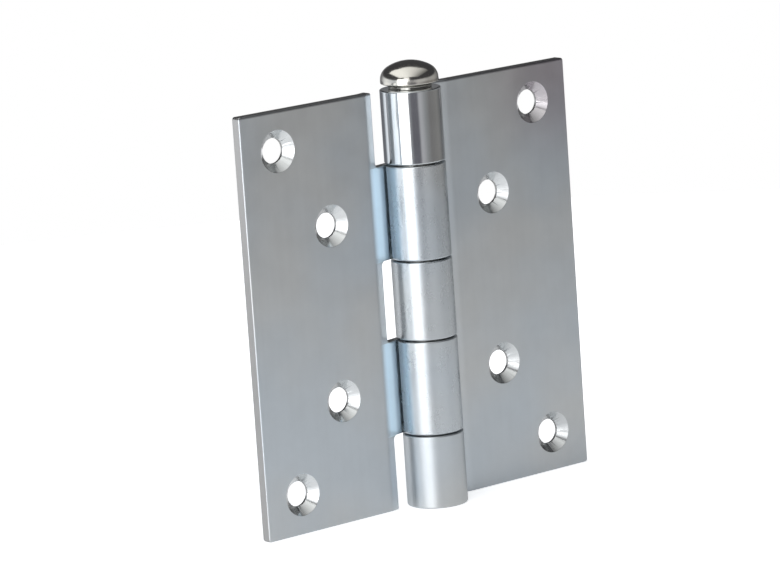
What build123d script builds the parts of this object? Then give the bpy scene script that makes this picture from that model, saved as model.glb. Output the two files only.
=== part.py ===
from build123d import *
from math import acos, atan2, cos, degrees, isclose, radians, sin
import os

# Loose pin butt hinge, opened flat, in millimetres.
# X runs across the leaves, Y into the door, Z up along the pin.
# The origin is on the pin's axis at the bottom end of the barrel.

# Leaves
hinge_height = 89.0
open_width = 89.0
sheet = 2.4
# Distance of a leaf's front face behind the pin's axis
face_offset = 1.5
corner_radius = 0.9
# Width of the break that takes the sharpness off every sheared edge
edge_break = 0.3

# Pin
pin_diameter = 8.0
pin_clearance = 0.05
pin_end_gap = 2.5
pin_end_chamfer = 1.0
# A short neck stands on the top knuckle, and the head spreads out from it to the rim, whose side
# is upright for a little before the dome starts
head_neck_diameter = 9.2
head_neck_height = 0.75
head_diameter = 12.3
head_rim_height = 1.2
head_side_height = 0.6
head_dome_height = 4.0
head_shoulder_radius = 3.2
head_rim_round = 0.25

# Knuckles
left_knuckle = 20.0
middle_knuckle = 16.7
knuckle_gap = 0.3
# The neck carries a leaf back to its knuckles: its slope in degrees and its bend on the back
neck_slope = 13.5
neck_bend_radius = 2.5
# Width of the seam where the rolled end comes back to its own leaf
seam_gap = 0.3
# Clearance from the barrel to the leaf's edge in the notches
notch_clearance = 2.55
notch_corner_radius = 1.0

# Countersunk screw holes, a zigzag of four in each leaf
screw_hole_diameter = 5.3
countersink_diameter = 8.9
countersink_angle = 90.0
# Holes from the leaf's outer edge, and from its top or bottom end
outer_hole_edge = 9.5
outer_hole_end = 8.35
inner_hole_edge = 22.2
inner_hole_end = 25.95

# Sizes that follow from the ones above
half_width = open_width / 2
pin_radius = pin_diameter / 2
bore_radius = pin_radius + pin_clearance
barrel_radius = bore_radius + sheet
back_offset = face_offset + sheet
notch_reach = barrel_radius + notch_clearance
cut_margin = 2 * barrel_radius

# The neck leaves the flat leaf in a bend and runs straight to the back of the barrel, which it
# meets at a tangent. Its outward direction stands square to its sloping back face.
out_x = sin(radians(neck_slope))
out_y = cos(radians(neck_slope))
bend_y = back_offset + neck_bend_radius
bend_x = (barrel_radius + neck_bend_radius - out_y * bend_y) / out_x
bend_front_radius = neck_bend_radius + sheet

# The roll starts where the neck meets the barrel, and ends where its outer corner is one seam
# away from the front of its own neck.
roll_start = 90 - neck_slope
seam_angle = degrees(acos((bore_radius - seam_gap) / barrel_radius))
roll_turn = 360 - seam_angle
roll_end = radians(roll_start - seam_angle)

# The head's dome: a crown centred on the pin's axis, tangent to a shoulder that starts
# upright on top of the rim's side.
rim_z = hinge_height + head_rim_height
dome_z = rim_z + head_side_height
shoulder_centre_x = head_diameter / 2 - head_shoulder_radius
crown_radius = (shoulder_centre_x**2 + head_dome_height**2 - head_shoulder_radius**2) / (
    2 * (head_dome_height - head_shoulder_radius)
)
crown_drop = crown_radius - head_dome_height
shoulder_turn = degrees(atan2(crown_drop, shoulder_centre_x))

# Knuckles from the bottom up: right, left, right, left, right
end_knuckle = (hinge_height - 2 * left_knuckle - middle_knuckle - 4 * knuckle_gap) / 2
low_left_start = end_knuckle + knuckle_gap
low_left_end = low_left_start + left_knuckle
high_left_start = hinge_height - low_left_end
high_left_end = hinge_height - low_left_start

# Heights over which each leaf is notched for the other leaf's knuckles
right_notches = [
    (low_left_start - knuckle_gap, low_left_end + knuckle_gap),
    (high_left_start - knuckle_gap, high_left_end + knuckle_gap),
]
left_notches = [
    (-cut_margin, low_left_start),
    (low_left_end, high_left_start),
    (high_left_end, hinge_height + cut_margin),
]

# Faces of the leaves as planes: local x is X and local y is Z, seen from the front
front_face = Plane(origin=(0, face_offset, 0), x_dir=(1, 0, 0), z_dir=(0, -1, 0))


def rolled_section():
    """Section of the right leaf's folded sheet, seen along the pin: flat, neck, knuckle roll."""
    with BuildSketch() as section:
        with BuildLine():
            Line((half_width, face_offset), (bend_x, face_offset))
            CenterArc((bend_x, bend_y), bend_front_radius, 270, -neck_slope)
            Line(
                (bend_x - bend_front_radius * out_x, bend_y - bend_front_radius * out_y),
                (bore_radius * out_x, bore_radius * out_y),
            )
            CenterArc((0, 0), bore_radius, roll_start, roll_turn)
            Line(
                (bore_radius * cos(roll_end), bore_radius * sin(roll_end)),
                (barrel_radius * cos(roll_end), barrel_radius * sin(roll_end)),
            )
            CenterArc((0, 0), barrel_radius, roll_start - seam_angle, -roll_turn)
            Line(
                (barrel_radius * out_x, barrel_radius * out_y),
                (bend_x - neck_bend_radius * out_x, bend_y - neck_bend_radius * out_y),
            )
            CenterArc((bend_x, bend_y), neck_bend_radius, 270 - neck_slope, neck_slope)
            Line((bend_x, back_offset), (half_width, back_offset))
            Line((half_width, back_offset), (half_width, face_offset))
        make_face()
    return section.sketch


def notch_outlines(side, notches):
    """Outlines, seen from the front, of the room that a leaf leaves for the other's knuckles."""
    with BuildSketch(Plane.XZ) as gaps:
        for low, high in notches:
            with Locations((side * (notch_reach - cut_margin), (low + high) / 2)):
                Rectangle(2 * cut_margin, high - low)
        inner_corners = gaps.vertices().group_by(Axis.X)[-1 if side > 0 else 0]
        fillet(
            [corner for corner in inner_corners if 0 < corner.Y < hinge_height],
            radius=notch_corner_radius,
        )
    return gaps.sketch


def punch_screw_holes(side):
    """Countersink the zigzag of screw holes from the leaf's front face."""
    places = [
        (side * (half_width - from_edge), height)
        for from_edge, from_end in (
            (outer_hole_edge, outer_hole_end),
            (inner_hole_edge, inner_hole_end),
        )
        for height in (from_end, hinge_height - from_end)
    ]
    with Locations(*[front_face * Location(place) for place in places]):
        CounterSinkHole(
            radius=screw_hole_diameter / 2,
            counter_sink_radius=countersink_diameter / 2,
            depth=sheet,
            counter_sink_angle=countersink_angle,
        )


def ease_edges(leaf, side):
    """Round the leaf's outer corners, then break the sheared edges all the way round it.

    The knuckle ends' circles run on without a corner into the edges of the necks, the flat
    leaf and the notches, and the break follows them.
    """
    corners = (
        leaf.edges()
        .filter_by(Axis.Y)
        .filter_by(lambda edge: isclose(edge.center().X, side * half_width))
    )
    fillet(corners, radius=corner_radius)
    knuckle_circles = (
        leaf.edges()
        .filter_by(GeomType.CIRCLE)
        .filter_by(lambda edge: isclose(edge.radius, bore_radius) or isclose(edge.radius, barrel_radius))
    )
    chamfer(knuckle_circles, length=edge_break)


with BuildPart() as right_leaf:
    add(rolled_section())
    extrude(amount=hinge_height)
    extrude(notch_outlines(1, right_notches), amount=cut_margin, both=True, mode=Mode.SUBTRACT)
    punch_screw_holes(1)
    ease_edges(right_leaf, 1)

with BuildPart() as left_leaf:
    add(mirror(rolled_section(), about=Plane.YZ))
    extrude(amount=hinge_height)
    extrude(notch_outlines(-1, left_notches), amount=cut_margin, both=True, mode=Mode.SUBTRACT)
    punch_screw_holes(-1)
    ease_edges(left_leaf, -1)

with BuildPart() as pin:
    with BuildSketch(Plane.XZ) as pin_section:
        with BuildLine():
            Polyline(
                (0, pin_end_gap),
                (pin_radius - pin_end_chamfer, pin_end_gap),
                (pin_radius, pin_end_gap + pin_end_chamfer),
                (pin_radius, hinge_height),
                (head_neck_diameter / 2, hinge_height),
                (head_neck_diameter / 2, hinge_height + head_neck_height),
                (head_diameter / 2, rim_z),
                (head_diameter / 2, dome_z),
            )
            CenterArc((shoulder_centre_x, dome_z), head_shoulder_radius, 0, shoulder_turn)
            CenterArc((0, dome_z - crown_drop), crown_radius, shoulder_turn, 90 - shoulder_turn)
            Line((0, dome_z + head_dome_height), (0, pin_end_gap))
        make_face()
        rim_corner = pin_section.vertices().group_by(Axis.X)[-1].sort_by(Axis.Y)[0]
        fillet(rim_corner, radius=head_rim_round)
    revolve(axis=Axis.Z)

os.makedirs("parts", exist_ok=True)
right_leaf.part.label = "right_leaf"
left_leaf.part.label = "left_leaf"
pin.part.label = "pin"
export_step(right_leaf.part, "parts/right_leaf.step")
export_step(left_leaf.part, "parts/left_leaf.step")
export_step(pin.part, "parts/pin.step")
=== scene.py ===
"""Loose pin butt hinge: the rolled leaves, the lift-out pin, their plating and a small studio."""

import math

import bmesh
import bpy
from bpy.props import FloatProperty, FloatVectorProperty, IntProperty, PointerProperty
from mathutils import Matrix, Vector


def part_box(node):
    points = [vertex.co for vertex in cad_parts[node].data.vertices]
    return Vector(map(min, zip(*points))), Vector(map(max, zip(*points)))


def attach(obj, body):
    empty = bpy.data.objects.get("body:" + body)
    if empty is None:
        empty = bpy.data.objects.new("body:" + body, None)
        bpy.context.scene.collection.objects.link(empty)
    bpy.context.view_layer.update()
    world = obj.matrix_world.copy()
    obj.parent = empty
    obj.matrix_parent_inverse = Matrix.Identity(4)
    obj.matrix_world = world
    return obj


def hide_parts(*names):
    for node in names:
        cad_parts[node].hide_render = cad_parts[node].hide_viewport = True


bl_info = {
    "name": "Loose Pin Butt Hinge",
    "version": (1, 0, 0),
    "blender": (4, 5, 0),
    "location": "View3D > Sidebar > Hinge",
    "description": "Visible leaves and pin of a butt hinge around its solids, and a studio to show them",
    "category": "Object",
}

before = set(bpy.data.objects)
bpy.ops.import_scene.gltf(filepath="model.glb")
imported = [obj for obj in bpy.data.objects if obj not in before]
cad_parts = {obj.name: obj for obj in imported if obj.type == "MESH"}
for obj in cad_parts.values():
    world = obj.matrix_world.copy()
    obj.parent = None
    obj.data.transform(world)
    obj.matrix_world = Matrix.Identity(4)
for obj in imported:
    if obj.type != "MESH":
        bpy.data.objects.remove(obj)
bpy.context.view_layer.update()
LEAF_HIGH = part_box("right_leaf")[1]

# Width of the photograph's frame, in pixels
IMAGE_WIDTH = 780

# Radius of the round room that the metal mirrors, in metres
ROOM_RADIUS = 1.6

# Distance in metres under which two places count as one
TOUCHING = 1e-7

# Sides of the cutters for the round screw holes
HOLE_STEPS = 72

# A leaf with fewer faces than this lacks its notches or holes
FEWEST_LEAF_FACES = 400


class HingeSizes(bpy.types.PropertyGroup):
    """Sizes of the hinge's pieces."""

    height: FloatProperty(
        name="Height", description="Length of the barrel and of both leaves",
        default=LEAF_HIGH.z, unit="LENGTH")
    half_width: FloatProperty(
        name="Half width", description="From the pin's axis to a leaf's outer edge",
        default=LEAF_HIGH.x, unit="LENGTH")
    sheet: FloatProperty(
        name="Sheet", description="Thickness of the steel sheet", default=0.0024, unit="LENGTH")
    face_offset: FloatProperty(
        name="Face offset", description="Distance of a leaf's front face behind the pin's axis",
        default=0.0015, unit="LENGTH")
    bore_radius: FloatProperty(
        name="Bore radius", description="Inside radius of the rolled knuckles",
        default=0.00405, unit="LENGTH")
    neck_slope: FloatProperty(
        name="Neck slope", description="Slope of the neck that carries a leaf back to its knuckles",
        default=math.radians(13.5), subtype="ANGLE")
    neck_bend: FloatProperty(
        name="Neck bend", description="Radius, on the back, of the bend where the neck leaves the leaf",
        default=0.0025, unit="LENGTH")
    seam_gap: FloatProperty(
        name="Seam", description="Gap between the rolled end and its own leaf",
        default=0.00018, unit="LENGTH")
    left_knuckle: FloatProperty(
        name="Left knuckle", description="Length of each of the left leaf's two knuckles",
        default=0.020, unit="LENGTH")
    middle_knuckle: FloatProperty(
        name="Middle knuckle", description="Length of the right leaf's middle knuckle",
        default=0.0167, unit="LENGTH")
    knuckle_gap: FloatProperty(
        name="Knuckle gap", description="Gap between neighbouring knuckles",
        default=0.0003, unit="LENGTH")
    notch_reach: FloatProperty(
        name="Notch reach", description="From the pin's axis to a leaf's edge in its notches",
        default=0.009, unit="LENGTH")
    notch_corner: FloatProperty(
        name="Notch corner", description="Radius of the notches' inner corners",
        default=0.001, unit="LENGTH")
    corner_radius: FloatProperty(
        name="Corner radius", description="Radius of the leaves' outer corners",
        default=0.0006, unit="LENGTH")
    edge_round: FloatProperty(
        name="Edge rounding", description="Width of the rounding on the sheared edges",
        default=0.00034, unit="LENGTH")
    fine_round: FloatProperty(
        name="Fine rounding", description="Width of the rounding on the screw holes' edges",
        default=0.00005, unit="LENGTH")
    hole_radius: FloatProperty(
        name="Screw hole radius", description="Radius of the screw holes", default=0.00265, unit="LENGTH")
    countersink_radius: FloatProperty(
        name="Countersink radius", description="Radius of the countersinks at the front face",
        default=0.00445, unit="LENGTH")
    outer_hole_edge: FloatProperty(
        name="Outer holes from edge", description="Outer screw holes from the leaf's outer edge",
        default=0.0095, unit="LENGTH")
    outer_hole_end: FloatProperty(
        name="Outer holes from end", description="Outer screw holes from the leaf's top or bottom",
        default=0.00835, unit="LENGTH")
    inner_hole_edge: FloatProperty(
        name="Inner holes from edge", description="Inner screw holes from the leaf's outer edge",
        default=0.0222, unit="LENGTH")
    inner_hole_end: FloatProperty(
        name="Inner holes from end", description="Inner screw holes from the leaf's top or bottom",
        default=0.02595, unit="LENGTH")
    pin_radius: FloatProperty(
        name="Pin radius", description="Radius of the pin's shank", default=0.004, unit="LENGTH")
    pin_end_gap: FloatProperty(
        name="Pin end gap", description="From the bottom of the barrel up to the end of the pin",
        default=0.0025, unit="LENGTH")
    pin_end_chamfer: FloatProperty(
        name="Pin end chamfer", description="Lead-in on the end of the pin", default=0.001, unit="LENGTH")
    head_neck_radius: FloatProperty(
        name="Head neck radius", description="Radius of the short neck that stands on the top knuckle",
        default=0.0046, unit="LENGTH")
    head_neck: FloatProperty(
        name="Head neck height", description="Height of the neck below the head's underside",
        default=0.00075, unit="LENGTH")
    head_radius: FloatProperty(
        name="Head radius", description="Radius of the button head at its rim",
        default=0.00615, unit="LENGTH")
    head_rim: FloatProperty(
        name="Head rim height", description="Height of the rim's lower edge above the top knuckle",
        default=0.0012, unit="LENGTH")
    head_rim_round: FloatProperty(
        name="Head rim rounding", description="Radius of the rim's lower edge",
        default=0.00025, unit="LENGTH")
    head_side: FloatProperty(
        name="Head side height", description="Height of the rim's upright side",
        default=0.0006, unit="LENGTH")
    head_dome: FloatProperty(
        name="Head dome height", description="Height of the dome above the rim's side",
        default=0.0040, unit="LENGTH")
    head_shoulder: FloatProperty(
        name="Head shoulder radius", description="Radius of the dome's shoulder",
        default=0.0032, unit="LENGTH")
    arc_steps: IntProperty(
        name="Arc steps", description="Steps in a full turn of the barrel and the pin", default=144)


class HingeFinish(bpy.types.PropertyGroup):
    """Colours and polish of the hinge's plating."""

    zinc_cool: FloatVectorProperty(
        name="Cool zinc", description="Bluish tone of the bright zinc plating",
        default=(0.52, 0.565, 0.605), subtype="COLOR", size=3)
    zinc_warm: FloatVectorProperty(
        name="Warm zinc", description="Neutral tone of the bright zinc plating",
        default=(0.56, 0.575, 0.58), subtype="COLOR", size=3)
    # Painted reflection: a brighter, bluer tone where the neck runs into the knuckle, in place of light
    # bouncing between them
    fold_painted_reflection: FloatVectorProperty(
        name="Painted reflection in the fold", description="Painted bluer, brighter reflection where the neck runs into the knuckle",
        default=(0.76, 0.88, 0.96), subtype="COLOR", size=3)
    fold_shadow: FloatVectorProperty(
        name="Shadow in the fold", description="Tone towards which the fold's crease darkens",
        default=(0.10, 0.18, 0.28), subtype="COLOR", size=3)
    fold_shadow_share: FloatProperty(
        name="Fold shadow share", description="How far the crease of the fold darkens",
        default=0.35, subtype="FACTOR", min=0, max=1)
    cut_zinc: FloatVectorProperty(
        name="Zinc in the countersinks", description="Brighter tone of the smoothly cut countersinks",
        default=(0.66, 0.68, 0.69), subtype="COLOR", size=3)
    sheared_steel: FloatVectorProperty(
        name="Sheared edge", description="Tone of the plated edges that the shear left rough",
        default=(0.40, 0.40, 0.40), subtype="COLOR", size=3)
    # Painted highlight: the sheared edges in the notches are far brighter than the other sheared edges, so
    # that the knuckles mirror them bright
    notch_edge_painted_sheen: FloatVectorProperty(
        name="Notch edge", description="Brighter tone of the edges in the notches, which the knuckles mirror",
        default=(0.86, 0.88, 0.90), subtype="COLOR", size=3)
    # Painted shade: the sheared edges that face up or down are darker than those facing sideways only because
    # of the way they face
    endwise_painted_shade: FloatVectorProperty(
        name="Sheared top edge", description="Tone of the sheared edges on the top and bottom",
        default=(0.22, 0.22, 0.22), subtype="COLOR", size=3)
    # Painted shade: a dark band along the leaves' top edge, in place of the dark that the rounded edge
    # mirrors
    top_rim_painted_shade: FloatVectorProperty(
        name="Top rim", description="Tone that the leaves' faces darken towards along their top edge",
        default=(0.09, 0.09, 0.10), subtype="COLOR", size=3)
    top_rim_shade_share: FloatProperty(
        name="Top rim share", description="How far the faces darken along their top edge",
        default=0.7, subtype="FACTOR", min=0, max=1)
    # Painted shade: darkens and browns the top corner of the right leaf
    corner_painted_shade: FloatVectorProperty(
        name="Painted corner shade", description="Share of the light that the dulled corner of the right leaf keeps",
        default=(0.74, 0.67, 0.70), subtype="COLOR", size=3)
    nickel: FloatVectorProperty(
        name="Nickel", description="Tone of the pin's nickel-coloured plating",
        default=(0.60, 0.585, 0.545), subtype="COLOR", size=3)
    leaf_roughness: FloatProperty(
        name="Leaf roughness", description="Roughness of the flat sheet",
        default=0.36, subtype="FACTOR", min=0, max=1)
    knuckle_roughness: FloatProperty(
        name="Knuckle roughness", description="Roughness of the rolled knuckles",
        default=0.28, subtype="FACTOR", min=0, max=1)
    top_knuckle_roughness: FloatProperty(
        name="Top knuckle roughness", description="Roughness of the brighter top knuckle",
        default=0.09, subtype="FACTOR", min=0, max=1)
    bottom_knuckle_roughness: FloatProperty(
        name="Bottom knuckle roughness", description="Roughness of the duller bottom knuckle",
        default=0.37, subtype="FACTOR", min=0, max=1)
    fold_roughness: FloatProperty(
        name="Fold roughness", description="Roughness of the plating where the neck runs into the knuckle",
        default=0.48, subtype="FACTOR", min=0, max=1)
    cut_roughness: FloatProperty(
        name="Countersink roughness", description="Roughness of the countersinks",
        default=0.17, subtype="FACTOR", min=0, max=1)
    sheared_roughness: FloatProperty(
        name="Sheared edge roughness", description="Roughness of the sheared edges",
        default=0.32, subtype="FACTOR", min=0, max=1)
    pin_roughness: FloatProperty(
        name="Pin roughness", description="Roughness of the pin",
        default=0.15, subtype="FACTOR", min=0, max=1)


class HingeStudio(bpy.types.PropertyGroup):
    """Camera, floor and light."""

    camera_azimuth: FloatProperty(
        name="Camera azimuth", description="Direction of the camera round the pin's axis",
        default=math.radians(-39.357), subtype="ANGLE")
    camera_elevation: FloatProperty(
        name="Camera elevation", description="Height of the camera above the horizon",
        default=math.radians(10.516), subtype="ANGLE")
    camera_roll: FloatProperty(
        name="Camera roll", description="Turn of the camera about its line of sight",
        default=math.radians(-3.958), subtype="ANGLE")
    camera_distance: FloatProperty(
        name="Camera distance", description="From the camera to the point that it looks at",
        default=1.0082, unit="LENGTH")
    camera_target: FloatVectorProperty(
        name="Camera target", description="Point at the middle of the picture",
        default=(-0.009163, 0, 0.046905), size=3, subtype="TRANSLATION", unit="LENGTH")
    focal_pixels: FloatProperty(
        name="Focal length", description="Focal length in pixels of the photograph's frame",
        default=4818.5)
    floor_radius: FloatProperty(
        name="Floor radius", description="Radius of the pale round floor", default=0.38, unit="LENGTH")
    floor_colour: FloatVectorProperty(
        name="Floor colour", description="Colour of the floor as it lights other things",
        default=(0.8, 0.8, 0.8), subtype="COLOR", size=3)
    floor_shown: FloatVectorProperty(
        name="Shown floor colour", description="Colour of the floor's shaded part as it is seen",
        default=(0.85, 0.85, 0.86), subtype="COLOR", size=3)
    # Painted light: the floor glows for the metal, more brightly close to the hinge
    floor_near: FloatProperty(
        name="Floor near", description="Light that the metal sees in the floor close to the hinge",
        default=0.44)
    floor_far: FloatProperty(
        name="Floor far", description="Light that the metal sees at the floor's edge", default=0.19)
    panel_size: FloatVectorProperty(
        name="Overhead panel size", description="Width and depth of the overhead panel",
        default=(1.15, 0.98), size=2, unit="LENGTH")
    panel_place: FloatVectorProperty(
        name="Overhead panel place",
        description="Middle of the panel, to the right, back and up as the camera stands",
        default=(-0.025, -0.21, 0.6), size=3, subtype="TRANSLATION", unit="LENGTH")
    top_left_light: FloatProperty(
        name="Overhead panel, left", description="Strength of the overhead panel's left part", default=1.5)
    top_right_light: FloatProperty(
        name="Overhead panel, right", description="Strength of the overhead panel's right part", default=0.24)
    softbox_size: FloatVectorProperty(
        name="Softbox size", description="Width and height of the softbox on the left",
        default=(0.50, 0.54), size=2, unit="LENGTH")
    softbox_azimuth: FloatProperty(
        name="Softbox azimuth", description="Direction of the softbox round the pin's axis",
        default=math.radians(-69), subtype="ANGLE")
    softbox_distance: FloatProperty(
        name="Softbox distance", description="From the pin's axis to the softbox", default=0.7, unit="LENGTH")
    softbox_height: FloatProperty(
        name="Softbox height", description="Height of the softbox's middle", default=0.09, unit="LENGTH")
    left_light: FloatProperty(
        name="Left softbox", description="Power of the softbox on the left", default=2.05, unit="POWER")
    world_light: FloatProperty(
        name="World light", description="Strength of the white surroundings as they light the floor",
        default=0.5)


def add_node(tree, kind, settings=None, inputs=None):
    """Add a node, set its properties, and give each named or numbered input a value or a link."""
    node = tree.nodes.new(kind)
    for name, value in (settings or {}).items():
        setattr(node, name, value)
    for key, value in (inputs or {}).items():
        if isinstance(value, bpy.types.NodeSocket):
            tree.links.new(value, node.inputs[key])
        else:
            node.inputs[key].default_value = value
    return node


def calculate(tree, operation, *values):
    """Output of a Math node."""
    inputs = dict(enumerate(values))
    return add_node(tree, "ShaderNodeMath", {"operation": operation}, inputs).outputs[0]


def product(tree, first, *others):
    """First value times all the others."""
    for other in others:
        first = calculate(tree, "MULTIPLY", first, other)
    return first


def rest_of(tree, share):
    """What a share leaves of one."""
    return calculate(tree, "SUBTRACT", 1.0, share)


def parts_of(tree, place):
    """X, Y and Z of a place or a direction."""
    return add_node(tree, "ShaderNodeSeparateXYZ", None, {0: place}).outputs


def from_axis(tree, x, y):
    """Distance from the pin's axis."""
    return calculate(tree, "SQRT", calculate(tree, "ADD", product(tree, x, x), product(tree, y, y)))


def map_range(tree, value, low, high, new_low=0.0, new_high=1.0):
    """Output of a smooth Map Range node, which clamps at its ends."""
    inputs = {"Value": value, "From Min": low, "From Max": high, "To Min": new_low, "To Max": new_high}
    settings = {"interpolation_type": "SMOOTHSTEP"}
    return add_node(tree, "ShaderNodeMapRange", settings, inputs).outputs["Result"]


def zone(tree, value, limits, start=0.0):
    """Share that rises from 0 to 1 between two limits, both measured from a start."""
    return map_range(tree, value, start + limits[0], start + limits[1])


def mix_colours(tree, factor, first, second, blend="MIX"):
    """Output of a colour Mix node."""
    settings = {"data_type": "RGBA", "blend_type": blend}
    return add_node(tree, "ShaderNodeMix", settings, {0: factor, 6: first, 7: second}).outputs[2]


def mix_numbers(tree, factor, first, second):
    """Output of a number Mix node."""
    inputs = {0: factor, 2: first, 3: second}
    return add_node(tree, "ShaderNodeMix", {"data_type": "FLOAT"}, inputs).outputs[0]


def noise(tree, coordinates, scale, detail=3.0, stretch=None):
    """Value of a Noise Texture, from 0 to 1, on coordinates that may be stretched."""
    if stretch:
        mapping = add_node(tree, "ShaderNodeMapping", None, {"Vector": coordinates, "Scale": stretch})
        coordinates = mapping.outputs["Vector"]
    inputs = {"Vector": coordinates, "Scale": scale, "Detail": detail, "Roughness": 0.55}
    return add_node(tree, "ShaderNodeTexNoise", None, inputs).outputs["Fac"]


def vary(tree, value, pattern, spread):
    """Value that a pattern from 0 to 1 makes smaller or larger by up to half the spread."""
    return product(tree, value, calculate(tree, "MULTIPLY_ADD", pattern, spread, 1 - spread / 2))


def raised(tree, height, distance, normal=None):
    """Normal of a surface that a pattern raises by up to a distance, on top of an earlier normal."""
    inputs = {"Height": height, "Distance": distance, "Strength": 1.0}
    if normal is not None:
        inputs["Normal"] = normal
    return add_node(tree, "ShaderNodeBump", None, inputs).outputs[0]


def opaque(colour):
    """Colour with an alpha of one, as a node's socket takes it."""
    return (*colour, 1.0)


def new_material(name):
    """Material with only an output and a Principled BSDF, and the tree, shader and Object coordinates."""
    material = bpy.data.materials.new(name)
    material.use_nodes = True
    tree = material.node_tree
    tree.nodes.clear()
    shader = tree.nodes.new("ShaderNodeBsdfPrincipled")
    add_node(tree, "ShaderNodeOutputMaterial", None, {"Surface": shader.outputs[0]})
    coordinates = tree.nodes.new("ShaderNodeTexCoord")
    return material, tree, shader, coordinates


def plate(tree, shader, tone, rough, normal):
    """Give a shader the colour, roughness and normal of a plated metal."""
    tree.links.new(tone, shader.inputs["Base Color"])
    tree.links.new(rough, shader.inputs["Roughness"])
    tree.links.new(normal, shader.inputs["Normal"])
    shader.inputs["Metallic"].default_value = 1.0


# The plating changes between pairs of limits, each from outside a zone to inside it, in metres

# Out from the barrel's surface
BARREL_FADE = (0.0009, 0.0002)
# Up through the gap below the top knuckle
TOP_KNUCKLE_STEP = (0.0004, 0.0006)
# Across and back, for the fold beside the left leaf's knuckles and for its crease
FOLD_LEFT = (-0.0116, -0.0096)
FOLD_RIGHT = (-0.0035, -0.0045)
FOLD_FRONT = (-0.0020, -0.0005)
FOLD_CREASE = (-0.0085, -0.0071)
# Up from the leaves' top edge, for the painted shade along it
TOP_RIM_SHADE = (-0.00065, -0.0003)
# Across from the pin's axis, for the edges in the notches
NOTCH_REACH = (0.0106, 0.0098)
# From the top corner of the right leaf, for its painted shade
CORNER_SHADE_REACH = (0.028, 0.004)

# Band of a leaf that holds its screw holes, from the pin's axis and in from the leaf's edges
HOLES_START = 0.012
HOLES_MARGIN = 0.001

# Shares of a face's normal between which the plating changes, from outside the zone to inside it
SIDEWAYS_TURN = (0.45, 0.25)
ENDWISE_TURN = (0.5, 0.8)
FOLD_TURN = (0.25, -0.1)
SUNK_TURNS = ((0.86, 0.80), (0.58, 0.64))


def fold_zone(tree, x, y, from_middle, normal_y, sizes):
    """Share that marks the fold where the left leaf's necks run into its knuckles."""
    left_middle = (sizes.middle_knuckle + sizes.left_knuckle) / 2 + sizes.knuckle_gap
    at_left_knuckles = calculate(tree, "COMPARE", from_middle, left_middle, sizes.left_knuckle / 2)
    return product(tree, zone(tree, x, FOLD_LEFT), zone(tree, x, FOLD_RIGHT), zone(tree, y, FOLD_FRONT),
                   at_left_knuckles, zone(tree, normal_y, FOLD_TURN))


def countersink_zone(tree, aside, from_middle, facing, sizes):
    """Share that marks the sloping walls of the countersinks."""
    return product(tree, zone(tree, facing, SUNK_TURNS[0]), zone(tree, facing, SUNK_TURNS[1]),
                   calculate(tree, "GREATER_THAN", aside, HOLES_START),
                   calculate(tree, "LESS_THAN", aside, sizes.half_width - HOLES_MARGIN),
                   calculate(tree, "LESS_THAN", from_middle, sizes.height / 2 - HOLES_MARGIN))


def zinc_zones(tree, coordinates, finish, sizes):
    """Shares, from 0 to 1, that mark the parts of a leaf where its plating differs."""
    place = coordinates.outputs["Object"]
    x, y, z = parts_of(tree, place)
    _, normal_y, normal_z = parts_of(tree, coordinates.outputs["Normal"])
    facing = calculate(tree, "ABSOLUTE", normal_y)
    aside = calculate(tree, "ABSOLUTE", x)
    from_middle = calculate(tree, "ABSOLUTE", calculate(tree, "SUBTRACT", z, sizes.height / 2))
    # Height of an end knuckle with its half of the four gaps
    end_height = (sizes.height - 2 * sizes.left_knuckle - sizes.middle_knuckle) / 2
    barrel = zone(tree, from_axis(tree, x, y), BARREL_FADE, sizes.bore_radius + sizes.sheet)
    off_barrel = rest_of(tree, barrel)
    fold = fold_zone(tree, x, y, from_middle, normal_y, sizes)
    corner = (sizes.half_width, sizes.face_offset, sizes.height)
    from_corner = add_node(tree, "ShaderNodeVectorMath", {"operation": "DISTANCE"}, {0: place, 1: corner})
    return {
        "barrel": barrel,
        "top knuckle": product(tree, barrel, zone(tree, z, TOP_KNUCKLE_STEP, sizes.height - end_height)),
        "bottom knuckle": product(tree, barrel, calculate(tree, "LESS_THAN", z, end_height)),
        "sheared": product(tree, zone(tree, facing, SIDEWAYS_TURN), off_barrel),
        "endwise": zone(tree, calculate(tree, "ABSOLUTE", normal_z), ENDWISE_TURN),
        "notch": zone(tree, aside, NOTCH_REACH),
        "fold": fold,
        "fold shadow": product(tree, fold, zone(tree, x, FOLD_CREASE), finish.fold_shadow_share),
        "beside fold": product(tree, fold, off_barrel),
        "countersink": countersink_zone(tree, aside, from_middle, facing, sizes),
        "top rim shade": product(tree, zone(tree, z, TOP_RIM_SHADE, sizes.height), off_barrel, finish.top_rim_shade_share),
        "shade-painted": zone(tree, from_corner.outputs["Value"], CORNER_SHADE_REACH),
    }


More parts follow.
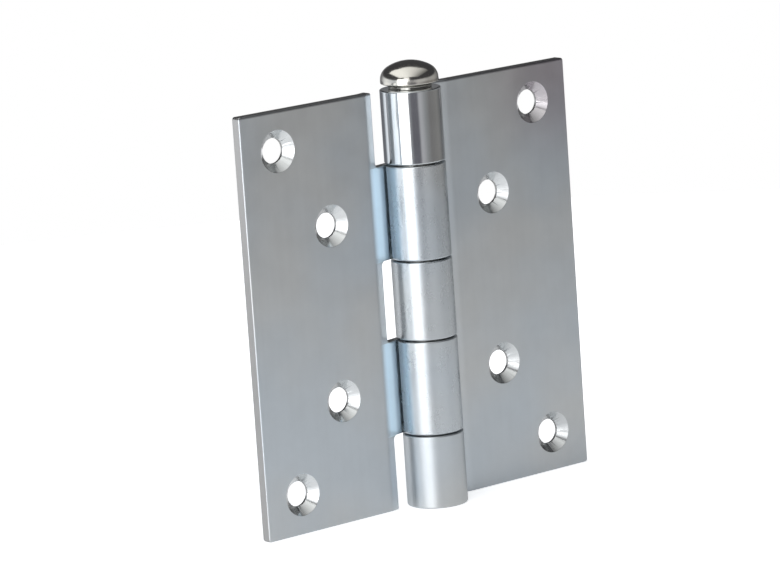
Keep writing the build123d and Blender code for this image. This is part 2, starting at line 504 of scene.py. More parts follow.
def zinc_tone(tree, zones, finish, broad, shade):
    """Colour of the plating, which each zone changes in turn, under a pattern of light and dark; some zones
    paint light and shade into it.
    """
    tone = mix_colours(tree, map_range(tree, broad, 0.35, 0.65),
                       opaque(finish.zinc_cool), opaque(finish.zinc_warm))
    # Painted light in the plating: a brighter, bluer reflection in the fold, a painted shadow in its crease
    # and a painted shade along the top rim; the countersinks keep their own tone
    for name, colour in (("fold", finish.fold_painted_reflection), ("fold shadow", finish.fold_shadow),
                         ("countersink", finish.cut_zinc), ("top rim shade", finish.top_rim_painted_shade)):
        tone = mix_colours(tree, zones[name], tone, opaque(colour))
    # Painted shade on the right leaf's top corner
    corner_shade_tone = mix_colours(tree, 1.0, tone, opaque(finish.corner_painted_shade), "MULTIPLY")
    tone = mix_colours(tree, zones["shade-painted"], tone, corner_shade_tone)
    # Painted sheen on the sheared edges in the notches
    edge_tone = mix_colours(tree, zones["notch"], opaque(finish.sheared_steel), opaque(finish.notch_edge_painted_sheen))
    # Painted shade on the sheared edges that face up or down
    edge_tone = mix_colours(tree, zones["endwise"], edge_tone, opaque(finish.endwise_painted_shade))
    tone = mix_colours(tree, zones["sheared"], tone, edge_tone)
    grey = add_node(tree, "ShaderNodeCombineColor", None, {0: shade, 1: shade, 2: shade}).outputs[0]
    return mix_colours(tree, 1.0, tone, grey, "MULTIPLY")


def zinc_roughness(tree, zones, finish):
    """Roughness of the plating, which each zone changes in turn."""
    rough = finish.leaf_roughness
    for name, roughness in (("barrel", finish.knuckle_roughness),
                            ("top knuckle", finish.top_knuckle_roughness),
                            ("bottom knuckle", finish.bottom_knuckle_roughness),
                            ("beside fold", finish.fold_roughness),
                            ("countersink", finish.cut_roughness),
                            ("sheared", finish.sheared_roughness)):
        rough = mix_numbers(tree, zones[name], rough, roughness)
    return rough


def zinc_material(finish, sizes):
    """Bright zinc plating: satin on the flat sheet, brighter on the knuckles, rougher on sheared edges."""
    material, tree, shader, coordinates = new_material("bright_zinc")
    place = coordinates.outputs["Object"]
    zones = zinc_zones(tree, coordinates, finish, sizes)
    broad = noise(tree, place, scale=24.0, detail=2.0)
    mottle = noise(tree, place, scale=160.0, detail=4.0)
    streak = noise(tree, place, scale=1.0, stretch=(700.0, 700.0, 26.0))
    shade = vary(tree, vary(tree, 1.0, mottle, spread=0.16), streak, spread=0.06)
    tone = zinc_tone(tree, zones, finish, broad, shade)
    rough = vary(tree, zinc_roughness(tree, zones, finish), mottle, spread=0.5)
    rough = vary(tree, rough, streak, spread=0.2)
    wave = noise(tree, place, scale=1.0, detail=2.0, stretch=(150.0, 150.0, 40.0))
    grain = noise(tree, place, scale=2600.0, detail=2.0)
    shear_lines = noise(tree, place, scale=1.0, stretch=(1800.0, 90.0, 1800.0))
    normal = raised(tree, wave, distance=0.00003)
    normal = raised(tree, grain, distance=0.000002, normal=normal)
    normal = raised(tree, product(tree, zones["sheared"], shear_lines), distance=0.00002, normal=normal)
    plate(tree, shader, tone, rough, normal)
    return material


def nickel_material(finish):
    """Polished nickel-coloured plating of the pin, with fine turning marks round it."""
    material, tree, shader, coordinates = new_material("polished_nickel")
    place = coordinates.outputs["Object"]
    mottle = noise(tree, place, scale=220.0, detail=4.0)
    turning = noise(tree, place, scale=1.0, detail=2.0, stretch=(60.0, 60.0, 2400.0))
    dark = tuple(0.86 * channel for channel in finish.nickel)
    tone = mix_colours(tree, mottle, opaque(dark), opaque(finish.nickel))
    rough = vary(tree, finish.pin_roughness, mottle, spread=0.6)
    plate(tree, shader, tone, rough, raised(tree, turning, distance=0.000002))
    return material


def arc(centre, radius, start, turn, sizes):
    """Points on an arc, both ends included, for angles in radians."""
    steps = max(2, math.ceil(abs(turn) / (2 * math.pi) * sizes.arc_steps))
    return [(centre[0] + radius * math.cos(start + turn * i / steps),
             centre[1] + radius * math.sin(start + turn * i / steps)) for i in range(steps + 1)]


def rolled_section(sizes):
    """Outline of the right leaf's folded sheet, seen along the pin: flat, neck and knuckle roll."""
    barrel_radius = sizes.bore_radius + sizes.sheet
    back = sizes.face_offset + sizes.sheet
    slope, bend, bend_front = sizes.neck_slope, sizes.neck_bend, sizes.neck_bend + sizes.sheet
    out = (math.sin(slope), math.cos(slope))
    bend_y = back + bend
    bend_x = (barrel_radius + bend - out[1] * bend_y) / out[0]
    seam_angle = math.acos((sizes.bore_radius - sizes.seam_gap) / barrel_radius)
    roll_start, roll_turn = math.pi / 2 - slope, 2 * math.pi - seam_angle
    points = [(sizes.half_width, sizes.face_offset)]
    points += arc((bend_x, bend_y), bend_front, 1.5 * math.pi, -slope, sizes)
    points += arc((0, 0), sizes.bore_radius, roll_start, roll_turn, sizes)
    points += arc((0, 0), barrel_radius, roll_start - seam_angle, -roll_turn, sizes)
    points += arc((bend_x, bend_y), bend, 1.5 * math.pi - slope, slope, sizes)
    points += [(sizes.half_width, back)]
    return points


def mesh_from(name, shape):
    """Mesh of a shape that has been built, which is then let go."""
    mesh = bpy.data.meshes.new(name)
    shape.to_mesh(mesh)
    shape.free()
    return mesh


def leaf_blank(name, side, sizes):
    """Folded sheet of full height with rounded outer corners, before its notches and holes are cut."""
    shape = bmesh.new()
    outline = [shape.verts.new((side * x, y, 0)) for x, y in rolled_section(sizes)]
    face = shape.faces.new(outline)
    raised_parts = bmesh.ops.extrude_face_region(shape, geom=[face])
    top = [item for item in raised_parts["geom"] if isinstance(item, bmesh.types.BMVert)]
    bmesh.ops.translate(shape, vec=(0, 0, sizes.height), verts=top)
    bmesh.ops.recalc_face_normals(shape, faces=shape.faces)
    corners = [edge for edge in shape.edges
               if all(abs(abs(vert.co.x) - sizes.half_width) < TOUCHING for vert in edge.verts)
               and abs(edge.verts[0].co.z - edge.verts[1].co.z) < TOUCHING]
    bmesh.ops.bevel(shape, geom=corners, offset=sizes.corner_radius, segments=8, affect="EDGES", profile=0.5)
    return mesh_from(name, shape)


def cutting_tree(name, floats):
    """Geometry Nodes tree with a geometry, named numbers, a count and a material given to it."""
    tree = bpy.data.node_groups.new(name, "GeometryNodeTree")
    tree.interface.new_socket(name="Geometry", in_out="INPUT", socket_type="NodeSocketGeometry")
    for title in floats:
        tree.interface.new_socket(name=title, in_out="INPUT", socket_type="NodeSocketFloat")
    tree.interface.new_socket(name="Notch count", in_out="INPUT", socket_type="NodeSocketInt")
    tree.interface.new_socket(name="Material", in_out="INPUT", socket_type="NodeSocketMaterial")
    tree.interface.new_socket(name="Geometry", in_out="OUTPUT", socket_type="NodeSocketGeometry")
    return tree, tree.nodes.new("NodeGroupInput").outputs


def vector(tree, x=0.0, y=0.0, z=0.0):
    """Output of a Combine XYZ node."""
    return add_node(tree, "ShaderNodeCombineXYZ", None, {0: x, 1: y, 2: z}).outputs[0]


def point_row(tree, count, start, offset):
    """Row of points, each one offset from the last."""
    inputs = {"Count": count, "Start Location": start, "Offset": offset}
    return add_node(tree, "GeometryNodeMeshLine", {"mode": "OFFSET"}, inputs).outputs["Mesh"]


def front_to_back(tree, geometry):
    """Geometry turned from lying along Z to lying along Y."""
    inputs = {"Geometry": geometry, "Rotation": (math.pi / 2, 0, 0)}
    return add_node(tree, "GeometryNodeTransform", None, inputs).outputs[0]


def cut_at(tree, solid, points, cutter):
    """Solid with a copy of the cutter taken out of it at every point."""
    placed = add_node(tree, "GeometryNodeInstanceOnPoints", None, {"Points": points, "Instance": cutter})
    cutters = add_node(tree, "GeometryNodeRealizeInstances", None, {0: placed.outputs[0]}).outputs[0]
    settings = {"operation": "DIFFERENCE", "solver": "EXACT"}
    return add_node(tree, "GeometryNodeMeshBoolean", settings, {0: solid, 1: cutters}).outputs[0]


def finish_cutting(tree, solid, material):
    """Smooth shading, Realize Instances and Set Material at the end of a cutting tree."""
    smooth = add_node(tree, "GeometryNodeSetShadeSmooth", None, {0: solid})
    whole = add_node(tree, "GeometryNodeRealizeInstances", None, {0: smooth.outputs[0]})
    inputs = {"Geometry": whole.outputs[0], "Material": material}
    finished = add_node(tree, "GeometryNodeSetMaterial", None, inputs)
    add_node(tree, "NodeGroupOutput", None, {0: finished.outputs[0]})


def notch_tree():
    """Geometry Nodes that cut a row of round-cornered notches out of a leaf's blank."""
    tree, given = cutting_tree("Notches", ("First notch", "Notch pitch", "Notch height", "Notch reach",
                                           "Notch corner"))
    width = calculate(tree, "MULTIPLY", given["Notch reach"], 2.0)
    rectangle = add_node(tree, "GeometryNodeCurvePrimitiveQuadrilateral", None,
                         {"Width": width, "Height": given["Notch height"]})
    rounded = add_node(tree, "GeometryNodeFilletCurve", {"mode": "POLY"},
                       {"Curve": rectangle.outputs[0], "Radius": given["Notch corner"], "Count": 7})
    depth = add_node(tree, "GeometryNodeCurvePrimitiveLine", None,
                     {"Start": vector(tree, z=calculate(tree, "MULTIPLY", width, -0.5)),
                      "End": vector(tree, z=calculate(tree, "MULTIPLY", width, 0.5))})
    block = add_node(tree, "GeometryNodeCurveToMesh", None,
                     {"Curve": depth.outputs[0], "Profile Curve": rounded.outputs[0], "Fill Caps": True})
    points = point_row(tree, given["Notch count"], vector(tree, z=given["First notch"]),
                       vector(tree, z=given["Notch pitch"]))
    notched = cut_at(tree, given["Geometry"], points, front_to_back(tree, block.outputs[0]))
    finish_cutting(tree, notched, given["Material"])
    return tree


def hole_tree():
    """Geometry Nodes that drill and countersink the zigzag of screw holes in a leaf."""
    tree, given = cutting_tree("Screw holes", (
        "Side", "Height", "Half width", "Front face", "Sheet", "Hole radius", "Countersink radius",
        "Outer hole edge", "Outer hole end", "Inner hole edge", "Inner hole end"))
    zigzag = add_node(tree, "GeometryNodeJoinGeometry")
    for kind in ("Outer hole", "Inner hole"):
        edge, end = given[kind + " edge"], given[kind + " end"]
        aside = calculate(tree, "SUBTRACT", given["Half width"], edge)
        span = calculate(tree, "SUBTRACT", given["Height"], product(tree, end, 2.0))
        start = vector(tree, product(tree, given["Side"], aside), given["Front face"], end)
        row = point_row(tree, 2, start, vector(tree, z=span))
        tree.links.new(row, zigzag.inputs[0])
    drill = add_node(tree, "GeometryNodeMeshCylinder", None,
                     {"Vertices": HOLE_STEPS, "Radius": given["Hole radius"],
                      "Depth": product(tree, given["Sheet"], 4.0)})
    # The countersink's 45 degree walls run on past the sheet's face and into the drilled hole
    overrun = 0.0004
    wide = calculate(tree, "ADD", given["Countersink radius"], overrun)
    narrow = calculate(tree, "SUBTRACT", given["Hole radius"], overrun)
    long = calculate(tree, "SUBTRACT", wide, narrow)
    sink = add_node(tree, "GeometryNodeMeshCone", None,
                    {"Vertices": HOLE_STEPS, "Radius Top": wide, "Radius Bottom": narrow, "Depth": long})
    sunk = add_node(tree, "GeometryNodeTransform", None,
                    {"Geometry": sink.outputs[0],
                     "Translation": vector(tree, z=calculate(tree, "SUBTRACT", overrun, long))})
    drilled = cut_at(tree, given["Geometry"], zigzag.outputs[0], front_to_back(tree, drill.outputs[0]))
    sunk_in = cut_at(tree, drilled, zigzag.outputs[0], front_to_back(tree, sunk.outputs[0]))
    finish_cutting(tree, sunk_in, given["Material"])
    return tree


def cut_leaf(piece, tree, values):
    """Give a piece a Geometry Nodes modifier, with the values that its tree asks for."""
    cutting = piece.modifiers.new(tree.name, "NODES")
    cutting.node_group = tree
    for socket in tree.interface.items_tree:
        if socket.name in values:
            cutting[socket.identifier] = values[socket.name]


def round_edges(piece, width, sharper_than=28):
    """Round every edge of a piece that is sharper than a number of degrees."""
    bevel = piece.modifiers.new("Rounded edges", "BEVEL")
    bevel.width = width
    bevel.segments = 4
    bevel.limit_method = "ANGLE"
    bevel.angle_limit = math.radians(sharper_than)
    bevel.use_clamp_overlap = False
    bevel.miter_outer = "MITER_ARC"


def flatten_faces(piece):
    """Keep the flat faces of a piece flat in the light."""
    normals = piece.modifiers.new("Flat faces", "WEIGHTED_NORMAL")
    normals.keep_sharp = True
    normals.weight = 80


def settle(piece):
    """Replace a piece's mesh by the result of its modifiers, and remove them."""
    bpy.context.view_layer.update()
    evaluated = piece.evaluated_get(bpy.context.evaluated_depsgraph_get())
    mesh = bpy.data.meshes.new_from_object(evaluated)
    piece.modifiers.clear()
    piece.data = mesh
    mesh.name = piece.name


def show(tree, shader):
    """Join a shader to the material's output."""
    output = next(node for node in tree.nodes if node.type == "OUTPUT_MATERIAL")
    tree.links.new(shader.outputs[0], output.inputs["Surface"])


def add_piece(name, mesh, material):
    """Object of a mesh, in the scene, with one material."""
    piece = bpy.data.objects.new(name, mesh)
    bpy.context.scene.collection.objects.link(piece)
    mesh.materials.append(material)
    return piece


def shared_material(name, make, *details):
    """Material of that name, made the first time it is asked for."""
    return bpy.data.materials.get(name) or make(*details)


class HINGE_OT_leaf(bpy.types.Operator):
    """Fold, notch and countersink one leaf, and let it stand for its solid"""

    bl_idname = "hinge.leaf"
    bl_label = "Make a leaf"

    side: IntProperty(name="Side", description="1 for the right leaf, -1 for the left leaf", default=1)

    def execute(self, context):
        sizes, finish = context.scene.hinge_sizes, context.scene.hinge_finish
        body = "right_leaf" if self.side > 0 else "left_leaf"
        material = shared_material("bright_zinc", zinc_material, finish, sizes)
        piece = add_piece(body + "_plate", leaf_blank(body, self.side, sizes), material)
        gap = sizes.knuckle_gap
        pitch = sizes.left_knuckle + sizes.middle_knuckle + 2 * gap
        if self.side > 0:
            count, notch_height = 2, sizes.left_knuckle + 2 * gap
        else:
            count, notch_height = 3, sizes.middle_knuckle + 2 * gap
        values = {
            "Side": float(self.side), "Height": sizes.height, "Half width": sizes.half_width,
            "Front face": sizes.face_offset, "Sheet": sizes.sheet, "Material": material,
            "First notch": sizes.height / 2 - pitch * (count - 1) / 2, "Notch pitch": pitch,
            "Notch count": count, "Notch height": notch_height,
            "Notch reach": sizes.notch_reach, "Notch corner": sizes.notch_corner,
            "Hole radius": sizes.hole_radius, "Countersink radius": sizes.countersink_radius,
            "Outer hole edge": sizes.outer_hole_edge, "Outer hole end": sizes.outer_hole_end,
            "Inner hole edge": sizes.inner_hole_edge, "Inner hole end": sizes.inner_hole_end,
        }
        cut_leaf(piece, bpy.data.node_groups.get("Notches") or notch_tree(), values)
        round_edges(piece, sizes.edge_round)
        cut_leaf(piece, bpy.data.node_groups.get("Screw holes") or hole_tree(), values)
        round_edges(piece, sizes.fine_round, sharper_than=40)
        flatten_faces(piece)
        settle(piece)
        if len(piece.data.polygons) < FEWEST_LEAF_FACES:
            raise RuntimeError(body + " came out without its notches or holes")
        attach(piece, body)
        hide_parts(body)
        return {"FINISHED"}


def pin_profile(sizes):
    """Half section of the pin, from the middle of its lower end to the top of its dome."""
    rim = sizes.height + sizes.head_rim
    dome = rim + sizes.head_side
    spread = math.atan2(sizes.head_rim - sizes.head_neck, sizes.head_radius - sizes.head_neck_radius)
    rim_turn = math.pi / 2 - spread
    rim_centre = (sizes.head_radius - sizes.head_rim_round,
                  rim + sizes.head_rim_round * math.tan(rim_turn / 2))
    shoulder_x = sizes.head_radius - sizes.head_shoulder
    crown = (shoulder_x**2 + sizes.head_dome**2 - sizes.head_shoulder**2) / (
        2 * (sizes.head_dome - sizes.head_shoulder))
    drop = crown - sizes.head_dome
    turn = math.atan2(drop, shoulder_x)
    points = [
        (0, sizes.pin_end_gap),
        (sizes.pin_radius - sizes.pin_end_chamfer, sizes.pin_end_gap),
        (sizes.pin_radius, sizes.pin_end_gap + sizes.pin_end_chamfer),
        (sizes.pin_radius, sizes.height),
        (sizes.head_neck_radius, sizes.height),
        (sizes.head_neck_radius, sizes.height + sizes.head_neck),
    ]
    points += arc(rim_centre, sizes.head_rim_round, -rim_turn, rim_turn, sizes)
    points += arc((shoulder_x, dome), sizes.head_shoulder, 0, turn, sizes)
    points += arc((0, dome - drop), crown, turn, math.pi / 2 - turn, sizes)[1:-1]
    points += [(0, dome + sizes.head_dome)]
    return points


def turned_mesh(name, profile, steps):
    """Solid of revolution about Z from a half section that starts and ends on the axis."""
    shape = bmesh.new()
    rings = []
    for radius, height in profile[1:-1]:
        rings.append([shape.verts.new((radius * math.cos(2 * math.pi * i / steps),
                                       radius * math.sin(2 * math.pi * i / steps), height))
                      for i in range(steps)])
    first = shape.verts.new((0, 0, profile[0][1]))
    last = shape.verts.new((0, 0, profile[-1][1]))
    for i in range(steps):
        after = (i + 1) % steps
        shape.faces.new((first, rings[0][after], rings[0][i]))
        shape.faces.new((last, rings[-1][i], rings[-1][after]))
        for lower, upper in zip(rings, rings[1:]):
            shape.faces.new((lower[i], lower[after], upper[after], upper[i]))
    bmesh.ops.recalc_face_normals(shape, faces=shape.faces)
    for face in shape.faces:
        face.smooth = True
    return mesh_from(name, shape)


class HINGE_OT_pin(bpy.types.Operator):
    """Turn the pin with its button head, and let it stand for its solid"""

    bl_idname = "hinge.pin"
    bl_label = "Make the pin"

    def execute(self, context):
        sizes, finish = context.scene.hinge_sizes, context.scene.hinge_finish
        material = shared_material("polished_nickel", nickel_material, finish)
        mesh = turned_mesh("loose_pin", pin_profile(sizes), sizes.arc_steps)
        piece = add_piece("loose_pin", mesh, material)
        round_edges(piece, sizes.edge_round / 2)
        flatten_faces(piece)
        settle(piece)
        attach(piece, "pin")
        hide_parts("pin")
        return {"FINISHED"}


class HINGE_OT_camera(bpy.types.Operator):
    """Place the camera at the photograph's viewing angle"""

    bl_idname = "hinge.camera"
    bl_label = "Place the camera"

    def execute(self, context):
        studio = context.scene.hinge_studio
        data = bpy.data.cameras.new("camera")
        data.sensor_width = 36.0
        data.lens = studio.focal_pixels / IMAGE_WIDTH * data.sensor_width
        camera = bpy.data.objects.new("camera", data)
        context.scene.collection.objects.link(camera)
        azimuth, elevation, roll = studio.camera_azimuth, studio.camera_elevation, studio.camera_roll
        back = Vector((math.sin(azimuth) * math.cos(elevation),
                       -math.cos(azimuth) * math.cos(elevation), math.sin(elevation)))
        level_right = Vector((math.cos(azimuth), math.sin(azimuth), 0))
        level_up = back.cross(level_right)
        right = math.cos(roll) * level_right + math.sin(roll) * level_up
        up = math.cos(roll) * level_up - math.sin(roll) * level_right
        turn = Matrix((right, up, back)).transposed().to_4x4()
        place = Vector(studio.camera_target) + studio.camera_distance * back
        camera.matrix_world = Matrix.Translation(place) @ turn
        context.scene.camera = camera
        return {"FINISHED"}


# Point that the softbox faces
SOFTBOX_TARGET = Vector((0, 0, 0.04))


def add_softbox(studio):
    """Rectangular area lamp on the left, facing the hinge and hidden from the camera."""
    data = bpy.data.lights.new("left_softbox", "AREA")
    data.shape = "RECTANGLE"
    data.size, data.size_y = studio.softbox_size
    data.energy = studio.left_light
    lamp = bpy.data.objects.new("left_softbox", data)
    bpy.context.scene.collection.objects.link(lamp)
    azimuth, distance = studio.softbox_azimuth, studio.softbox_distance
    place = Vector((distance * math.sin(azimuth), -distance * math.cos(azimuth), studio.softbox_height))
    facing = (place - SOFTBOX_TARGET).to_track_quat("Z", "Y")
    lamp.matrix_world = Matrix.Translation(place) @ facing.to_matrix().to_4x4()
    lamp.visible_camera = False


# Grey of the low part of the room's walls by azimuth in degrees, where 0 is in front of the hinge
ROOM_LOW_WALLS = (
    (-180, (0.14, 0.14, 0.15)),
    (-168, (0.17, 0.17, 0.18)),
    (-158, (0.75, 0.77, 0.80)),
    (-143, (1.00, 1.00, 1.00)),
    (-124, (0.92, 0.94, 0.97)),
    (-111, (0.56, 0.59, 0.64)),
    (-92, (0.42, 0.46, 0.51)),
    (-80, (0.64, 0.65, 0.67)),
    (-56, (0.60, 0.60, 0.60)),
    (-47, (0.28, 0.28, 0.29)),
    (-38, (0.13, 0.125, 0.14)),
    (-17, (0.13, 0.125, 0.14)),
    (-9, (0.41, 0.40, 0.41)),
    (-3, (0.41, 0.40, 0.41)),
    (12, (0.27, 0.27, 0.27)),
    (32, (0.18, 0.17, 0.165)),
    (70, (0.22, 0.21, 0.20)),
    (95, (0.13, 0.13, 0.13)),
    (120, (0.10, 0.10, 0.10)),
    (134, (0.80, 0.80, 0.82)),
    (149, (0.80, 0.80, 0.82)),
    (157, (0.14, 0.14, 0.15)),
    (180, (0.14, 0.14, 0.15)),
)
# Grey of the lighter band of the walls at the horizon, by azimuth in the same way
ROOM_HORIZON = (
    (-180, (0.20, 0.20, 0.21)),
    (-160, (0.60, 0.62, 0.64)),
    (-142, (0.87, 0.88, 0.90)),
    (-112, (0.60, 0.63, 0.67)),
    (-94, (0.50, 0.53, 0.57)),
    (-80, (0.93, 0.94, 0.95)),
    (-66, (0.85, 0.85, 0.85)),
    (-50, (0.55, 0.55, 0.55)),
    (-38, (0.32, 0.32, 0.33)),
    (-27, (0.28, 0.28, 0.29)),
    (-14, (0.42, 0.42, 0.42)),
    (-5, (0.48, 0.48, 0.48)),
    (21, (0.45, 0.45, 0.45)),
    (39, (0.33, 0.33, 0.33)),
    (70, (0.36, 0.36, 0.35)),
    (95, (0.22, 0.22, 0.22)),
    (120, (0.08, 0.08, 0.08)),
    (180, (0.20, 0.20, 0.21)),
)
ROOM_CEILING = (0.045, 0.045, 0.048)
# Bright patch of the wall above the horizon, which the countersinks mirror
ROOM_WINDOW = (1.1, 1.1, 1.1)
ROOM_STRENGTH = 1.5

# Heights between which the room's parts fade in, as shares of its radius
HORIZON_RISE = (-0.075, -0.03)
CEILING_RISE = (0.20, 0.32)
WINDOW_SILL = (0.08, 0.15)
WINDOW_TOP = (0.62, 0.55)
# Azimuths in degrees between which the window's two sides fade in
WINDOW_SIDES = ((-37, -43), (-66, -60))

# Shares of the overhead panel's width between which its light falls off
PANEL_FADE = (-0.17, 0.53)

# Distances from the pin's axis between which the floor's shadow fades out, in metres
SHADOW_FADE = (0.03, 0.12)
# Glow of the floor as it is seen right under the hinge, where 1 is that of its white part
SHADOW_GLOW = 0.66
# Distance from the pin's axis at which the floor's painted glow, as the metal sees it, begins to darken
FLOOR_START = 0.02
# Azimuths in degrees between which that glow darkens on the right as a painted shadow of the hinge, and what
# is left of it there
FLOOR_RIGHT_SHADOW = (62, 105)
FLOOR_RIGHT_SHADOW_SHARE = 0.5
FLOOR_ROUGHNESS = 0.12


def clear_view(tree):
    """One for the rays that show the background: the camera's, and those that metal or glass sends on."""
    path = tree.nodes.new("ShaderNodeLightPath").outputs
    seen = calculate(tree, "MAXIMUM", path["Is Camera Ray"], path["Is Glossy Ray"])
    return calculate(tree, "MAXIMUM", seen, path["Is Transmission Ray"])


def white_world(strength):
    """World that is plain white to look at, and lights the floor at its own strength."""
    world = bpy.data.worlds.new("white")
    world.use_nodes = True
    tree = world.node_tree
    tree.nodes.clear()
    level = mix_numbers(tree, clear_view(tree), strength, 1.0)
    light = add_node(tree, "ShaderNodeBackground", None, {"Color": (1, 1, 1, 1), "Strength": level})
    add_node(tree, "ShaderNodeOutputWorld", None, {"Surface": light.outputs[0]})
    return world


def turn_share(degrees):
    """Share of a turn at an azimuth in degrees, with the front of the hinge at one half."""
    return degrees / 360 + 0.5


def azimuth_share(tree, x, y):
    """Azimuth round the pin's axis as such a share of a turn."""
    angle = calculate(tree, "ARCTAN2", x, calculate(tree, "MULTIPLY", y, -1.0))
    return calculate(tree, "MULTIPLY_ADD", angle, 1 / (2 * math.pi), 0.5)


def wall_ramp(tree, share, walls):
    """Colour of a ring of wall at a share of a turn."""
    ramp = add_node(tree, "ShaderNodeValToRGB", None, {0: share})
    elements = ramp.color_ramp.elements
    elements.remove(elements[-1])
    for index, (degrees, colour) in enumerate(walls):
        place = turn_share(degrees)
        stop = elements[0] if index == 0 else elements.new(place)
        stop.position = place
        stop.color = opaque(colour)
    return ramp.outputs[0]


def room_material():
    """Grey walls with a lighter band at the horizon, a window and a dark ceiling."""
    material, tree, shader, coordinates = new_material("grey_room")
    tree.nodes.remove(shader)
    x, y, z = parts_of(tree, coordinates.outputs["Object"])
    share = azimuth_share(tree, x, y)
    height = calculate(tree, "DIVIDE", z, ROOM_RADIUS)
    colour = mix_colours(tree, zone(tree, height, HORIZON_RISE),
                         wall_ramp(tree, share, ROOM_LOW_WALLS), wall_ramp(tree, share, ROOM_HORIZON))
    colour = mix_colours(tree, zone(tree, height, CEILING_RISE), colour, opaque(ROOM_CEILING))
    window = product(tree, zone(tree, height, WINDOW_SILL), zone(tree, height, WINDOW_TOP))
    for side in WINDOW_SIDES:
        window = product(tree, window, zone(tree, share, [turn_share(degrees) for degrees in side]))
    colour = mix_colours(tree, window, colour, opaque(ROOM_WINDOW))
    show(tree, add_node(tree, "ShaderNodeEmission", None, {"Color": colour, "Strength": ROOM_STRENGTH}))
    material.cycles.emission_sampling = "NONE"
    return material


def panel_material(studio):
    """Glow of the overhead panel, bright on its left and dim on its right."""
    material, tree, shader, coordinates = new_material("overhead_glow")
    tree.nodes.remove(shader)
    along, _, _ = parts_of(tree, coordinates.outputs["Object"])
    bright, dim = (share * studio.panel_size[0] for share in PANEL_FADE)
    level = map_range(tree, along, bright, dim, studio.top_left_light, studio.top_right_light)
    show(tree, add_node(tree, "ShaderNodeEmission", None, {"Color": (1, 1, 0.98, 1), "Strength": level}))
    return material


def floor_material(studio):
    """Glossy pale floor, nearly white to look at, with the hinge's shadow left on it, and a painted glow that
    the metal mirrors, with a painted shadow on its right.
    """
    material, tree, shader, coordinates = new_material("pale_floor")
    tree.nodes.remove(shader)
    x, y, _ = parts_of(tree, coordinates.outputs["Object"])
    out = from_axis(tree, x, y)
    camera = tree.nodes.new("ShaderNodeLightPath").outputs["Is Camera Ray"]
    seen = clear_view(tree)
    colour = mix_colours(tree, seen, opaque(studio.floor_colour), opaque(studio.floor_shown))
    matt = add_node(tree, "ShaderNodeBsdfDiffuse", None, {"Color": colour})
    right_start, right_end = (turn_share(degrees) for degrees in FLOOR_RIGHT_SHADOW)
    # Painted shadow of the hinge: the glow that the metal sees darkens on the right
    right_painted_shadow = map_range(tree, azimuth_share(tree, x, y), right_start, right_end, 1.0, FLOOR_RIGHT_SHADOW_SHARE)
    mirrored_painted_glow = map_range(tree, out, FLOOR_START, studio.floor_radius, studio.floor_near, studio.floor_far)
    mirrored_painted_glow = product(tree, mirrored_painted_glow, right_painted_shadow)
    shown = map_range(tree, out, *SHADOW_FADE, SHADOW_GLOW, 1.0)
    strength = product(tree, mix_numbers(tree, camera, mirrored_painted_glow, shown), seen)
    glow = add_node(tree, "ShaderNodeEmission", None, {"Color": (0.96, 0.98, 1, 1), "Strength": strength})
    both = add_node(tree, "ShaderNodeAddShader", None, {0: matt.outputs[0], 1: glow.outputs[0]})
    polish = add_node(tree, "ShaderNodeBsdfGlossy", None,
                      {"Color": (1, 1, 1, 1), "Roughness": FLOOR_ROUGHNESS})
    fresnel = add_node(tree, "ShaderNodeFresnel", None, {"IOR": 1.5})
    share = product(tree, fresnel.outputs[0], rest_of(tree, camera))
    show(tree, add_node(tree, "ShaderNodeMixShader", None,
                        {0: share, 1: both.outputs[0], 2: polish.outputs[0]}))
    return material


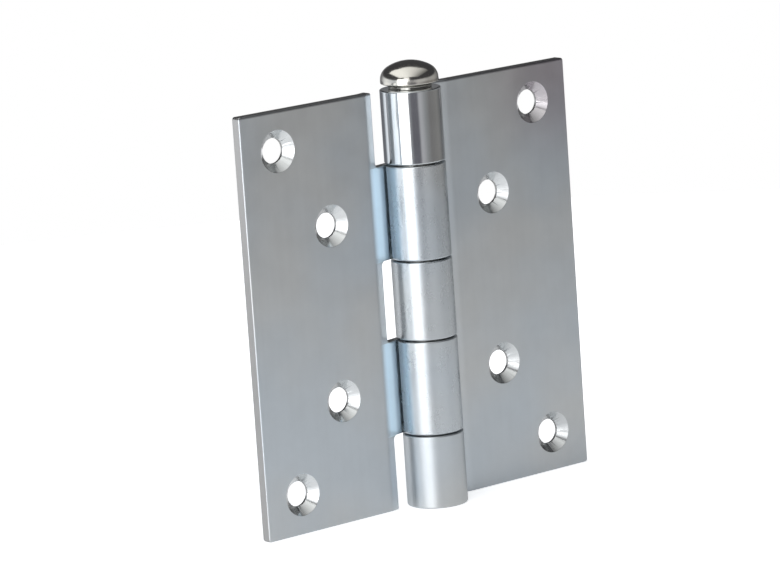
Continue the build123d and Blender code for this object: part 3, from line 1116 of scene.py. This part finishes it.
class HINGE_OT_stage(bpy.types.Operator):
    """Lay the floor, and set up the room, the overhead panel and the softbox"""

    bl_idname = "hinge.stage"
    bl_label = "Set the stage"

    def execute(self, context):
        studio = context.scene.hinge_studio
        shape = bmesh.new()
        bmesh.ops.create_circle(shape, cap_ends=True, radius=studio.floor_radius, segments=96)
        floor = add_piece("floor", mesh_from("floor", shape), floor_material(studio))
        shape = bmesh.new()
        bmesh.ops.create_uvsphere(shape, u_segments=48, v_segments=24, radius=ROOM_RADIUS)
        bmesh.ops.reverse_faces(shape, faces=shape.faces)
        room = add_piece("room", mesh_from("room", shape), room_material())
        room.visible_camera = False
        shape = bmesh.new()
        bmesh.ops.create_grid(shape, x_segments=1, y_segments=1, size=0.5)
        bmesh.ops.scale(shape, vec=(*studio.panel_size, 1), verts=shape.verts)
        panel = add_piece("overhead_panel", mesh_from("overhead_panel", shape), panel_material(studio))
        turn = Matrix.Rotation(studio.camera_azimuth, 4, "Z")
        panel.matrix_world = turn @ Matrix.Translation(studio.panel_place)
        panel.visible_camera = False
        add_softbox(studio)
        context.scene.world = white_world(studio.world_light)
        context.scene.view_settings.view_transform = "Standard"
        return {"FINISHED"}


class HINGE_PT_panel(bpy.types.Panel):
    """Steps that make the hinge and its studio"""

    bl_idname = "HINGE_PT_panel"
    bl_label = "Loose pin butt hinge"
    bl_space_type = "VIEW_3D"
    bl_region_type = "UI"
    bl_category = "Hinge"

    def draw(self, context):
        steps = self.layout.column()
        steps.operator("hinge.camera")
        steps.operator("hinge.leaf", text="Make the right leaf").side = 1
        steps.operator("hinge.leaf", text="Make the left leaf").side = -1
        steps.operator("hinge.pin")
        steps.operator("hinge.stage")
        for group in (context.scene.hinge_sizes, context.scene.hinge_finish, context.scene.hinge_studio):
            column = self.layout.column()
            for name in group.bl_rna.properties.keys():
                if name not in ("rna_type", "name"):
                    column.prop(group, name)


CLASSES = (HingeSizes, HingeFinish, HingeStudio, HINGE_OT_leaf, HINGE_OT_pin, HINGE_OT_camera,
           HINGE_OT_stage, HINGE_PT_panel)


def register():
    for item in CLASSES:
        bpy.utils.register_class(item)
    bpy.types.Scene.hinge_sizes = PointerProperty(type=HingeSizes)
    bpy.types.Scene.hinge_finish = PointerProperty(type=HingeFinish)
    bpy.types.Scene.hinge_studio = PointerProperty(type=HingeStudio)


def unregister():
    del bpy.types.Scene.hinge_studio
    del bpy.types.Scene.hinge_finish
    del bpy.types.Scene.hinge_sizes
    for item in reversed(CLASSES):
        bpy.utils.unregister_class(item)


def main():
    register()
    bpy.ops.hinge.camera()
    bpy.ops.hinge.leaf(side=1)
    bpy.ops.hinge.leaf(side=-1)
    bpy.ops.hinge.pin()
    bpy.ops.hinge.stage()


if __name__ == "__main__":
    main()
